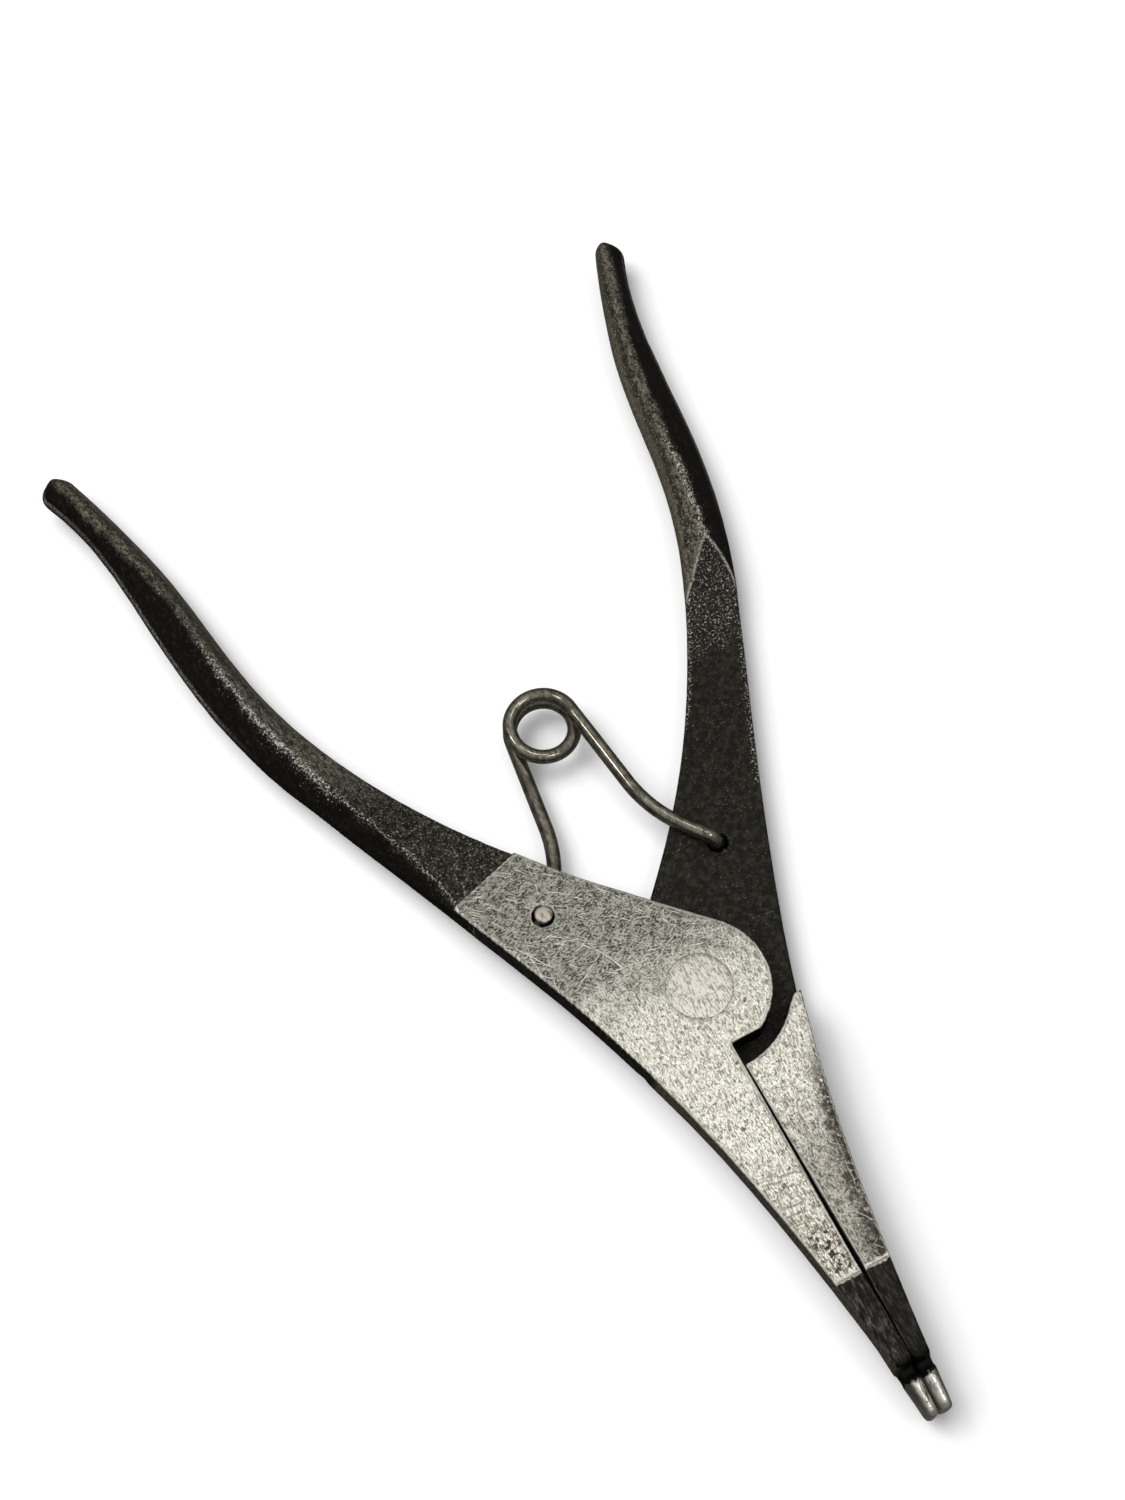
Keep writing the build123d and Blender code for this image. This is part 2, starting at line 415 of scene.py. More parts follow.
        # The jaw thins from the crease to the tip, with the groove behind the tip.
        ragged = np.where(np.abs(y - groove_y) < groove_ragged_reach, 0.2 * self.waves[1], 0)
        self.jaw_height = along_y(
            -(y + ragged),
            (-crease_y, plate),
            (-groove_y, groove_lip_height),
            (0.4 - groove_y, groove_floor_height),
            (groove_width - 0.6 - groove_y, groove_floor_height),
            (groove_width - groove_y, tip_root_height),
            (-tip_y - 1.5, tip_end_height + 0.2),
            (-tip_y, tip_end_height - 0.3),
        )
        return np.where(y < 0, self.jaw_height, plate_side), lap_side

    def solid(self, outline, jaw, x, y):
        """The whole lever as a field: the handle and plate, joined to the full-thickness jaw."""
        z = self.z[None, None, :]
        radius = along_y(y, *edge_radii)[:, :, None]

        def steepness(height):
            dx, dy = np.gradient(height, grid_step)
            return np.sqrt(1 + np.minimum(dx * dx + dy * dy, 16))[:, :, None]

        def slab(plan, top):
            above = (z - half_thickness - top[:, :, None]) / steepness(top)
            below = (half_thickness - self.plate_side[:, :, None] - z) / steepness(self.plate_side)
            return smooth_max(np.maximum(above, below), plan, radius)

        # The outer face of the jaw leans in on the lap's side, where the forging was not ground square.
        lean = along_y(y, *(front_jaw_lean if self.turned_over else back_jaw_lean))
        start = half_thickness + (front_lean_start if self.turned_over else back_lean_start)
        on_jaw = (1 - smooth_step(shoulder_y, shoulder_y + 1.9, y)) * smooth_step(1.2, 3, x) * lean
        plan = outline[:, :, None] + on_jaw[:, :, None] * np.maximum(z - start, 0)
        full_jaw = slab(np.maximum(plan, jaw[:, :, None]), self.jaw_height)
        field = np.minimum(slab(plan, self.lap_side), full_jaw)

        hole = spring_hole_radius - np.hypot(x - spring_hole[0], y - spring_hole[1])
        field = smooth_max(field, hole[:, :, None], hole_rounding)
        head = rivet_head_depth - np.minimum(z, thickness - z)
        slope = (rivet_head_radius - rivet_radius) / rivet_head_depth
        bore = rivet_radius + slope * np.maximum(head, 0) - np.hypot(x, y)[:, :, None]
        return np.maximum(field, bore).astype(np.float32)

    def build(self, name):
        place, quads = surface_nets(self.field, self.lowest, grid_step)
        vertices = place.copy()
        if self.turned_over:
            vertices[:, 0] *= -1
            vertices[:, 2] = thickness - vertices[:, 2]
        piece = new_piece(name, vertices, quads)
        self.mark_finishes(piece, place, quads, vertices)
        return piece

    def mark_finishes(self, piece, place, quads, vertices):
        """Attributes for the material: where the steel is ground, milled, worn or a side wall."""
        normals = np.zeros(len(place) * 3, np.float32)
        piece.data.vertex_normals.foreach_get("vector", normals)
        normals = normals.reshape(-1, 3)
        edges = np.concatenate([quads[:, [0, 1]], quads[:, [1, 2]], quads[:, [2, 3]], quads[:, [3, 0]]])
        offset = np.zeros_like(vertices)
        count = np.zeros(len(vertices))
        np.add.at(offset, edges[:, 0], vertices[edges[:, 1]] - vertices[edges[:, 0]])
        np.add.at(count, edges[:, 0], 1)
        convex = -(offset * normals).sum(axis=1) / count / grid_step
        for _ in range(2):
            total = np.zeros(len(vertices))
            np.add.at(total, edges[:, 0], convex[edges[:, 1]])
            convex = 0.5 * convex + 0.5 * total / count

        up = -normals[:, 2] if self.turned_over else normals[:, 2]
        level = place[:, 2] - half_thickness
        past_plate = sample(self.past_plate, self.lowest, place)
        milled_edge = sample(self.milled_edge, self.lowest, place)
        facing = smooth_step(0.8, 0.97, np.abs(up))
        jaw = 1 - smooth_step(-0.05, 0.05, crease_y - place[:, 1])
        front_flat = (level > 3) & (place[:, 1] < 0)
        back_flat = (level < -3) & (past_plate < 0.1)
        set_attribute(piece, "place", place)
        set_attribute(piece, "ground", facing * jaw * (front_flat | back_flat))
        lap = (level > -0.5) & (place[:, 1] > -15) & ~front_flat & (up > 0.5)
        set_attribute(piece, "milled", lap * smooth_step(0, 0.4, milled_edge))
        set_attribute(piece, "convex", convex)
        from_ridge = np.where(self.beyond_ridge, -self.to_ridge, self.to_ridge)
        set_attribute(piece, "from_ridge", sample(from_ridge, self.lowest, place))
        set_attribute(piece, "from_inner", sample(self.inner, self.lowest, place))
        set_attribute(piece, "from_outer", sample(self.outer, self.lowest, place))
        rim = smooth_step(-0.3, 0, milled_edge) * (1 - smooth_step(0.12, 0.5, milled_edge))
        set_attribute(piece, "run_out_rim", rim * (level > 0) * (place[:, 1] > 48) * (np.abs(up) > 0.5))
        set_attribute(piece, "side", 1 - smooth_step(0.3, 0.75, np.abs(up)))


# ---------------------------------------------------------------- materials

class Nodes:
    """A few words for writing a material's nodes."""

    def __init__(self, name):
        self.material = bpy.data.materials.new(name)
        self.material.use_nodes = True
        self.tree = self.material.node_tree
        self.shader = self.tree.nodes["Principled BSDF"]

    def node(self, kind, **settings):
        made = self.tree.nodes.new("ShaderNode" + kind)
        for key, value in settings.items():
            setattr(made, key, value)
        return made

    def put(self, socket, value):
        if isinstance(value, bpy.types.NodeSocket):
            self.tree.links.new(value, socket)
        elif isinstance(value, tuple) and len(value) == 3 and socket.type == "RGBA":
            socket.default_value = (*value, 1)
        else:
            socket.default_value = value

    def attribute(self, name, output="Fac"):
        return self.node("Attribute", attribute_name=name).outputs[output]

    def math(self, operation, a, b=0.0, clamp=False):
        made = self.node("Math", operation=operation, use_clamp=clamp)
        self.put(made.inputs[0], a)
        self.put(made.inputs[1], b)
        return made.outputs[0]

    def times(self, *values):
        result = values[0]
        for value in values[1:]:
            result = self.math("MULTIPLY", result, value)
        return result

    def plus(self, a, b):
        return self.math("ADD", a, b)

    def inverse(self, a):
        return self.math("SUBTRACT", 1.0, a)

    def step(self, value, low, high):
        """0 below low and 1 above high, smoothly; low may be the larger."""
        made = self.node("MapRange", interpolation_type="SMOOTHSTEP")
        self.put(made.inputs["Value"], value)
        if low > high:
            low, high = high, low
            made.inputs["To Min"].default_value = 1
            made.inputs["To Max"].default_value = 0
        made.inputs["From Min"].default_value = low
        made.inputs["From Max"].default_value = high
        return made.outputs["Result"]

    def mix(self, share, a, b):
        made = self.node("Mix", data_type="RGBA")
        self.put(made.inputs[0], share)
        self.put(made.inputs[6], a)
        self.put(made.inputs[7], b)
        return made.outputs[2]

    def blend(self, share, a, b):
        made = self.node("Mix", data_type="FLOAT")
        self.put(made.inputs[0], share)
        self.put(made.inputs[2], a)
        self.put(made.inputs[3], b)
        return made.outputs[0]

    def mapped(self, vector, scale=(1, 1, 1), turn=0, shift=(0, 0, 0)):
        made = self.node("Mapping")
        self.put(made.inputs["Vector"], vector)
        made.inputs["Scale"].default_value = scale
        made.inputs["Rotation"].default_value = (0, 0, radians(turn))
        made.inputs["Location"].default_value = shift
        return made.outputs[0]

    def noise(self, vector, scale, detail=2.0, roughness=0.5):
        made = self.node("TexNoise")
        self.put(made.inputs["Vector"], vector)
        made.inputs["Scale"].default_value = scale
        made.inputs["Detail"].default_value = detail
        made.inputs["Roughness"].default_value = roughness
        return made.outputs["Fac"]

    def cells(self, vector, scale):
        made = self.node("TexVoronoi")
        self.put(made.inputs["Vector"], vector)
        made.inputs["Scale"].default_value = scale
        return made.outputs["Distance"]

    def scratches(self, place, turn, spacing, length, share, width=0.11):
        """Thin lines at about one angle, on a share of the places that could have one."""
        sway = self.node("TexNoise")
        self.put(sway.inputs["Vector"], place)
        sway.inputs["Scale"].default_value = 0.12
        bent = self.node("VectorMath", operation="MULTIPLY_ADD")
        self.put(bent.inputs[0], sway.outputs["Color"])
        bent.inputs[1].default_value = (0, 3.0, 0)
        self.put(bent.inputs[2], self.mapped(place, turn=turn))
        parts = self.node("SeparateXYZ")
        self.put(parts.inputs[0], bent.outputs[0])
        across = self.math("DIVIDE", parts.outputs[1], spacing)
        line = self.math("FLOOR", across)
        start = self.node("TexWhiteNoise", noise_dimensions="1D")
        self.put(start.inputs["W"], line)
        along = self.math("DIVIDE", parts.outputs[0], length)
        along = self.plus(along, self.times(start.outputs["Value"], 9.0))
        spot = self.node("CombineXYZ")
        self.put(spot.inputs[0], line)
        self.put(spot.inputs[1], self.math("FLOOR", along))
        chance = self.node("TexWhiteNoise", noise_dimensions="2D")
        self.put(chance.inputs["Vector"], spot.outputs[0])
        drawn = self.math("LESS_THAN", chance.outputs["Value"], share)
        off_line = self.math("ABSOLUTE", self.math("SUBTRACT", self.math("FRACT", across), 0.5))
        off_middle = self.math("ABSOLUTE", self.math("SUBTRACT", self.math("FRACT", along), 0.5))
        line = self.step(off_line, width / spacing, 0.3 * width / spacing)
        return self.times(drawn, line, self.step(off_middle, 0.5, 0.25))

    def bump(self, height, distance, strength, normal=None):
        made = self.node("Bump")
        made.inputs["Strength"].default_value = strength
        made.inputs["Distance"].default_value = distance * MM
        self.put(made.inputs["Height"], height)
        if normal is not None:
            self.put(made.inputs["Normal"], normal)
        return made.outputs[0]


def plain(name, colour, roughness):
    made = Nodes(name)
    made.put(made.shader.inputs["Base Color"], colour)
    made.shader.inputs["Roughness"].default_value = roughness
    return made.material


silver = (0.98, 0.955, 0.845)
tarnish = (0.30, 0.275, 0.215)
soot = (0.035, 0.030, 0.024)


def centred(n, noise, size):
    """A noise made to swing evenly about zero by the given size."""
    return n.times(n.math("SUBTRACT", noise, 0.5), size)


def wheel_marks(n, place, share=0.0):
    """The grain that the grinding wheel left along the tool, and a share of a rougher one across it."""
    speckle = n.noise(place, 3.2, 2, 0.6)
    grain = n.noise(n.mapped(place, scale=(4.4, 1.1, 4.4), turn=7), 1.0, 2, 0.6)
    cross_grain = n.noise(n.mapped(place, scale=(1.8, 3.8, 3.6), turn=-30), 1.0, 3, 0.7)
    blotch = n.noise(place, 0.6, 4, 0.65)
    texture = n.times(n.blend(share, grain, cross_grain), 0.55)
    return n.plus(texture, n.plus(n.times(speckle, 0.20), n.times(blotch, 0.25)))


def bright_steel(n, texture):
    return n.mix(n.step(texture, 0.40, 0.55), tarnish, silver)


def ground_colour(n, place, x, y, is_front):
    """Ground flats: the wheel's grain along the tool, spotted, scratched, duller at the hook."""
    speckle = n.noise(place, 3.2, 2, 0.6)
    broad = n.noise(place, 0.16, 3, 0.6)
    blotch = n.noise(place, 0.6, 4, 0.65)
    hook_end = n.step(n.plus(y, centred(n, broad, 20.0)), -2, 11)
    texture = wheel_marks(n, place, hook_end)
    dull = n.mix(n.step(texture, 0.43, 0.57), (0.055, 0.054, 0.044), (0.56, 0.55, 0.47))
    patches = n.times(n.step(n.noise(place, 0.45, 3, 0.6), 0.50, 0.68), 0.35)
    dull = n.mix(patches, dull, (0.56, 0.55, 0.47))
    colour = n.mix(hook_end, bright_steel(n, texture), dull)
    rusty = n.times(n.step(n.noise(place, 0.28, 3, 0.6), 0.6, 0.72), n.step(speckle, 0.42, 0.56))
    colour = n.mix(n.times(rusty, 0.6), colour, (0.13, 0.095, 0.06))

    spots = n.times(n.step(n.noise(place, 1.5, 3, 0.7), 0.62, 0.68), 0.7)
    pits = n.times(n.step(n.cells(place, 0.36), 0.2, 0.12), n.step(blotch, 0.5, 0.56), 0.8)
    dark = n.math("MAXIMUM", spots, pits)
    if is_front:
        # A cluster of deep pits just before the crease.
        near = n.times(n.step(y, -41.5, -44), n.step(y, -51.5, -50))
        near = n.times(near, n.step(x, 0.4, 1.4), n.step(x, 6.0, 4.6))
        deep = n.times(near, n.step(n.noise(place, 0.85, 2, 0.6), 0.53, 0.57), 0.95)
        lower = n.step(n.plus(y, centred(n, blotch, 14.0)), -30, -48)
        lower = n.times(lower, n.step(texture, 0.58, 0.44))
        colour = n.mix(n.times(lower, 0.75), colour, (0.20, 0.165, 0.115))
    else:
        # Stained along the outer edge, and more and more towards the crease.
        outward = n.plus(n.plus(x, n.times(y, -0.215)), centred(n, blotch, 7.0))
        edge = n.times(n.step(outward, 12.0, 14.2), n.step(y, -13, -25))
        edge = n.times(edge, n.step(n.noise(place, 1.1, 4, 0.75), 0.32, 0.48))
        lower = n.step(n.plus(y, centred(n, blotch, 16.0)), -18, -36)
        colour = n.mix(n.times(lower, 0.62), colour, n.mix(n.step(texture, 0.4, 0.6), soot, tarnish))
        deep = n.times(edge, 0.95)
    colour = n.mix(n.math("MAXIMUM", dark, deep), colour, (0.05, 0.042, 0.033))

    lines = n.scratches(place, 62, 0.7, 11.0, 0.09, 0.15)
    more = ((-28, 0.9, 8.0, 0.10), (12, 0.8, 5.0, 0.08), (96, 0.8, 14.0, 0.09), (40, 0.5, 3.0, 0.20))
    for turn, spacing, length, share in more:
        lines = n.math("MAXIMUM", lines, n.scratches(place, turn, spacing, length, share))
    lines = n.times(lines, n.step(n.noise(place, 0.4, 2, 0.5), 0.36, 0.6), n.blend(hook_end, 0.4, 1.0))
    if is_front:
        # Fine scratches straight across the jaw.
        band = n.times(n.step(y, -30, -34), n.step(y, -45, -42), n.step(blotch, 0.36, 0.46))
        across = n.times(band, n.scratches(place, 8, 0.6, 4.5, 0.6, 0.24))
        colour = n.mix(n.times(across, 0.75), colour, (0.26, 0.225, 0.17))
    colour = n.mix(n.times(lines, 0.95), colour, (0.98, 0.96, 0.88))
    return colour, lines, texture


def forged_colour(n, place, y, worn):
    """Brown-black scale with painted light and shade: the outer facet beyond the ridge is painted nearly
    black as shade and the inner facet lighter as lit; worn through in specks along the ridge, painted
    brighter as a glint along the middle of the grip.
    """
    ridge_distance = n.attribute("from_ridge")
    inner_distance = n.attribute("from_inner")
    edge_distance = n.math("MINIMUM", inner_distance, n.attribute("from_outer"))
    speckle = n.noise(place, 2.6, 4, 0.75)
    broad = n.noise(place, 0.2, 3, 0.6)
    mottle = n.noise(n.mapped(place, scale=(1.5, 0.7, 1.5), turn=-20), 1.0, 5, 0.75)
    wavering = n.plus(ridge_distance, centred(n, broad, 3.0))
    # Painted light and shade by facet: nearly black beyond the ridge as shade, lighter brown inside it as
    # lit, dimmer towards the neck.
    inside = n.step(wavering, -1.2, 0.6)
    outer = n.mix(n.step(mottle, 0.50, 0.70), (0.0010, 0.0008, 0.0006), (0.014, 0.0115, 0.008))
    painted_lit_grip = n.mix(n.step(mottle, 0.40, 0.62), (0.011, 0.0095, 0.007), (0.125, 0.113, 0.082))
    painted_lit_neck = n.mix(n.step(mottle, 0.46, 0.64), (0.004, 0.0035, 0.0026), (0.040, 0.036, 0.027))
    inner = n.mix(n.step(y, 52, 68), painted_lit_neck, painted_lit_grip)
    colour = n.mix(inside, outer, inner)
    # The flash line, a little way in from the inner edge, and a paler rim beyond it.
    on_grip = n.step(y, 66, 78)
    flash = n.times(n.step(inner_distance, 0.9, 1.4), n.step(inner_distance, 2.3, 1.8), on_grip)
    colour = n.mix(n.times(flash, 0.75), colour, (0.004, 0.0035, 0.0025))
    pale = n.times(n.step(inner_distance, 1.3, 0.9), on_grip, n.step(mottle, 0.3, 0.5))
    colour = n.mix(n.times(pale, 0.7), colour, (0.075, 0.067, 0.046))
    # A speckled pale line along both edges of the grip, painted as a highlight on the rounded edges.
    line = n.times(n.step(edge_distance, 0.15, 0.4), n.step(edge_distance, 0.9, 0.6), n.step(y, 70, 90))
    colour = n.mix(n.times(line, n.step(speckle, 0.4, 0.6), 0.6), colour, (0.30, 0.28, 0.23))

    # Worn-through specks along the ridge and on worn edges; between y 52 and 104 they are made larger and
    # brighter as a painted glint along the ridge.
    off_ridge = n.math("ABSOLUTE", wavering)
    along_ridge = n.times(n.step(off_ridge, 1.3, 0.3), 0.6)
    along_ridge = n.plus(along_ridge, n.times(n.step(off_ridge, 3.0, 0.8), 0.4))
    painted_glint_zone = n.times(n.step(y, 52, 64), n.step(y, 104, 88))
    amount = n.times(along_ridge, n.plus(0.5, n.times(painted_glint_zone, 0.75)))
    thin_line = n.math("ABSOLUTE", n.plus(ridge_distance, centred(n, n.noise(place, 0.5, 2, 0.5), 1.6)))
    thin_line = n.times(n.step(thin_line, 0.55, 0.2), n.step(y, 66, 58))
    amount = n.math("MAXIMUM", amount, n.math("MAXIMUM", n.times(worn, 0.75), n.times(thin_line, 1.1)))
    # A few more specks on the painted-lit inner facet.
    amount = n.plus(amount, n.times(inside, 0.12))
    cut = n.math("SUBTRACT", 0.68, n.times(amount, 0.14))
    shine = n.step(n.math("SUBTRACT", speckle, cut), 0.0, 0.04)
    shine = n.times(shine, n.plus(0.35, n.times(amount, 0.75)))
    sprinkle = n.times(inside, n.step(speckle, 0.555, 0.62), 0.24)
    shine = n.math("MINIMUM", n.math("MAXIMUM", shine, sprinkle), 1.0)
    return n.mix(shine, colour, (0.95, 0.92, 0.82)), shine


def milled_colour(n, place, y, worn):
    """Milled flats: oily black, pitted and sparkling where they run out into the grip."""
    speckle = n.noise(place, 2.6, 4, 0.75)
    mottle = n.noise(place, 0.9, 5, 0.75)
    broad = n.noise(place, 0.3, 3, 0.6)
    colour = n.mix(n.step(mottle, 0.42, 0.68), (0.003, 0.0027, 0.002), (0.022, 0.020, 0.016))
    run_out = n.step(n.plus(y, centred(n, broad, 9.0)), 53, 60)
    pitted = n.times(run_out, n.step(speckle, 0.55, 0.62), 0.85)
    specks = n.times(n.step(speckle, 0.60, 0.68), n.step(broad, 0.35, 0.6), 0.25)
    rim = n.times(n.attribute("run_out_rim"), n.step(speckle, 0.36, 0.5), 0.9)
    # Rubbed in specks along the outer edge, and along the inner edge above the spring.
    near_outer = n.step(n.attribute("from_outer"), 2.4, 0.3)
    near_inner = n.times(n.step(n.attribute("from_inner"), 1.6, 0.3), n.step(y, 38, 46))
    near_edge = n.math("MAXIMUM", worn, n.math("MAXIMUM", near_outer, near_inner))
    edge_cut = n.math("SUBTRACT", 0.68, n.times(near_edge, 0.15))
    edge = n.times(near_edge, n.step(n.math("SUBTRACT", speckle, edge_cut), 0.0, 0.05), 0.9)
    shine = n.math("MAXIMUM", n.math("MAXIMUM", pitted, specks), n.math("MAXIMUM", rim, edge))
    return n.mix(shine, colour, (0.85, 0.82, 0.73)), shine


def lever_steel(name, is_front):
    """Forged scale, ground and milled flats, darkened jaws and polished tips, all on one lever."""
    n = Nodes(name)
    place = n.attribute("place", "Vector")
    parts = n.node("SeparateXYZ")
    n.put(parts.inputs[0], place)
    x = parts.outputs[0]
    y = parts.outputs[1]
    if is_front:
        place = n.mapped(place, scale=(-1, 1, 1))
    else:
        place = n.mapped(place, shift=(31, 17, 5))
    ground = n.attribute("ground")
    milled = n.attribute("milled")
    convex = n.attribute("convex")
    side = n.attribute("side")
    top = n.inverse(side)

    speckle = n.noise(place, 2.0, 4, 0.75)
    small = n.noise(place, 1.0, 3, 0.6)
    worn = n.step(n.plus(convex, centred(n, small, 0.3)), 0.06, 0.22)

    scale, scale_shine = forged_colour(n, place, y, worn)
    flat, flat_shine = milled_colour(n, place, y, worn)
    colour = n.mix(milled, scale, flat)
    shine = n.blend(milled, scale_shine, flat_shine)
    shine = n.times(shine, n.inverse(n.times(side, 0.75)))
    # Side walls are painted nearly black as shade; the grip's inner side walls are painted a less dark
    # brown.
    colour = n.mix(n.times(side, 0.85), colour, (0.0035, 0.0030, 0.0022))
    inner_wall = n.times(side, n.step(n.attribute("from_inner"), 3.0, 1.5), n.step(y, 52, 66))
    wall_brown = n.mix(n.step(speckle, 0.35, 0.6), (0.022, 0.019, 0.012), (0.085, 0.076, 0.052))
    colour = n.mix(n.times(inner_wall, 0.8), colour, wall_brown)
    side_specks = n.times(side, n.step(speckle, 0.63, 0.72), 0.25)
    colour = n.mix(side_specks, colour, (0.35, 0.31, 0.25))

    wheel, lines, texture = ground_colour(n, place, x, y, is_front)
    colour = n.mix(ground, colour, wheel)

    # The edges of the ground flats are worn bright.
    rim = n.times(n.step(convex, 0.04, 0.14), n.step(y, 37, 34))
    rim = n.times(rim, n.math("MAXIMUM", ground, n.step(y, -9, -12)))
    rim = n.times(rim, n.step(speckle, 0.34, 0.5), n.inverse(n.times(side, 0.7)))
    colour = n.mix(n.times(rim, 0.85), colour, (0.88, 0.85, 0.75))

    # The thinned ends: dark to the groove, then polished prongs.
    wavering = n.plus(y, centred(n, small, 1.4))
    thinned = n.step(wavering, crease_y + 0.1, crease_y - 0.3)
    streaks = n.noise(n.mapped(place, scale=(2.2, 0.5, 2.2), turn=-6), 1.0, 4, 0.7)
    tip_light = (0.095, 0.09, 0.08) if is_front else (0.040, 0.037, 0.032)
    tip_colour = n.mix(n.step(streaks, 0.44, 0.70), (0.006, 0.006, 0.005), tip_light)
    colour = n.mix(n.times(thinned, n.inverse(n.times(side, 0.5))), colour, tip_colour)
    # A ragged bright line along the crease, painted as a highlight on its convex edge.
    crease_highlight = n.step(wavering, crease_y - 0.3, crease_y)
    crease_highlight = n.times(crease_highlight, n.step(wavering, crease_y + 0.8, crease_y + 0.4))
    crease_highlight = n.times(crease_highlight, top, n.step(speckle, 0.36, 0.46))
    colour = n.mix(n.times(crease_highlight, 0.9), colour, (0.95, 0.92, 0.82))
    ragged = n.plus(y, centred(n, small, 2.6))
    # The groove is painted black as shade.
    groove_painted_shade = n.times(n.step(ragged, groove_y + 2.0, groove_y + 0.4), n.step(ragged, -70.2, -69.4))
    colour = n.mix(groove_painted_shade, colour, (0.002, 0.002, 0.002))
    prong = n.step(ragged, -69.3, -69.9)
    prong_colour = n.mix(n.step(streaks, 0.50, 0.68), (0.95, 0.92, 0.83), (0.20, 0.17, 0.13))
    # The outer flank of each rounded prong is painted darker as shade, and its side walls darker still.
    shaded_flank = n.step(n.plus(x, centred(n, small, 0.8)), 1.5, 2.3)
    prong_colour = n.mix(n.times(shaded_flank, 0.75), prong_colour, (0.14, 0.12, 0.09))
    prong_colour = n.mix(n.times(side, 0.5), prong_colour, (0.06, 0.05, 0.038))
    colour = n.mix(prong, colour, prong_colour)

    # The jaw's side walls are grey-brown, less black than the plate's.
    wall = n.times(side, n.step(y, -9.5, -11.5), n.step(y, -68, -66), n.step(x, 1.5, 2.5))
    wall_colour = n.mix(n.step(speckle, 0.4, 0.62), (0.018, 0.014, 0.010), (0.075, 0.062, 0.047))
    colour = n.mix(n.times(wall, 0.85), colour, wall_colour)

    n.put(n.shader.inputs["Base Color"], colour)
    metal = n.math("MAXIMUM", n.math("MAXIMUM", ground, prong), n.math("MAXIMUM", shine, rim))
    metal = n.math("MAXIMUM", metal, crease_highlight, clamp=True)
    n.put(n.shader.inputs["Metallic"], n.times(metal, 0.95))
    rough = n.blend(metal, n.blend(small, 0.38, 0.62), n.plus(0.24, n.times(texture, 0.16)))
    rough = n.blend(side, rough, 0.8)
    n.put(n.shader.inputs["Roughness"], rough)
    n.put(n.shader.inputs["Specular IOR Level"], n.blend(side, 0.22, 0.04))
    n.shader.inputs["Specular Tint"].default_value = (1.0, 0.93, 0.78, 1)

    loose = n.times(n.inverse(ground), n.inverse(n.times(milled, 0.6)), n.inverse(prong))
    relief = n.times(n.plus(n.times(small, 0.8), n.times(speckle, 0.5)), loose)
    relief = n.plus(relief, n.times(shine, 0.25))
    normal = n.bump(relief, 0.3, 1.0)
    marks = n.plus(n.times(texture, 0.7), n.times(lines, -0.5))
    n.put(n.shader.inputs["Normal"], n.bump(n.times(marks, ground), 0.07, 0.8, normal))
    return n.material


def rivet_steel():
    n = Nodes("rivet_steel")
    place = n.mapped(n.node("TexCoord").outputs["Object"], scale=(1000, 1000, 1000), shift=(3, 8, 0))
    texture = wheel_marks(n, place)
    colour = bright_steel(n, texture)
    colour = n.mix(0.25, colour, (0.34, 0.32, 0.26))
    spots = n.step(n.noise(place, 1.5, 3, 0.7), 0.60, 0.67)
    colour = n.mix(n.times(spots, 0.5), colour, (0.06, 0.05, 0.04))
    n.put(n.shader.inputs["Base Color"], colour)
    n.shader.inputs["Metallic"].default_value = 0.95
    n.put(n.shader.inputs["Roughness"], n.plus(0.24, n.times(texture, 0.16)))
    n.put(n.shader.inputs["Normal"], n.bump(texture, 0.05, 0.7))
    return n.material


def spring_steel():
    """Drawn wire, brown in patches, bright where it rubs and at its cut ends."""
    n = Nodes("spring_steel")
    place = n.mapped(n.node("TexCoord").outputs["Object"], scale=(1000, 1000, 1000))
    parts = n.node("SeparateXYZ")
    n.put(parts.inputs[0], place)
    level = n.math("ABSOLUTE", n.math("SUBTRACT", parts.outputs[2], half_thickness))
    streaks = n.noise(n.mapped(place, scale=(1.8, 0.7, 1.8)), 1.0, 4, 0.65)
    patches = n.noise(place, 0.35, 3, 0.55)
    spots = n.step(n.noise(place, 1.4, 3, 0.7), 0.6, 0.7)
    colour = n.mix(n.step(streaks, 0.30, 0.70), (0.16, 0.145, 0.11), (0.42, 0.395, 0.315))
    colour = n.mix(n.times(n.step(patches, 0.45, 0.65), 0.6), colour, (0.09, 0.078, 0.055))
    colour = n.mix(n.times(spots, 0.5), colour, (0.03, 0.025, 0.02))
    cut_end = n.step(level, hook_depth - 0.5, hook_depth - 0.2)
    end_colour = n.mix(n.step(streaks, 0.36, 0.5), (0.30, 0.25, 0.19), (0.74, 0.68, 0.58))
    colour = n.mix(cut_end, colour, end_colour)
    n.put(n.shader.inputs["Base Color"], colour)
    n.shader.inputs["Metallic"].default_value = 0.95
    rough = n.plus(0.09, n.times(streaks, 0.10))
    n.put(n.shader.inputs["Roughness"], n.blend(cut_end, rough, 0.5))
    relief = n.plus(n.times(streaks, 0.5), n.times(spots, -0.6))
    n.put(n.shader.inputs["Normal"], n.bump(relief, 0.02, 0.4))
    return n.material


# ---------------------------------------------------------------- rivet and spring

def lathe(name, profile, around=128):
    """A closed solid turned about the pivot axis, from (radius, height) points."""
    rings = [(r, z) for r, z in profile if r > 0]
    vertices = [(0, 0, profile[0][1])]
    angles = [2 * pi * i / around for i in range(around)]
    for r, z in rings:
        vertices += [(r * cos(angle), r * sin(angle), z) for angle in angles]
    vertices.append((0, 0, profile[-1][1]))
    faces = []
    for i in range(around):
        j = (i + 1) % around
        faces.append((0, 1 + j, 1 + i))
        for ring in range(len(rings) - 1):
            a = 1 + ring * around
            b = a + around
            faces.append((a + i, a + j, b + j, b + i))
        a = 1 + (len(rings) - 1) * around
        faces.append((len(vertices) - 1, a + i, a + j))
    return new_piece(name, vertices, faces)


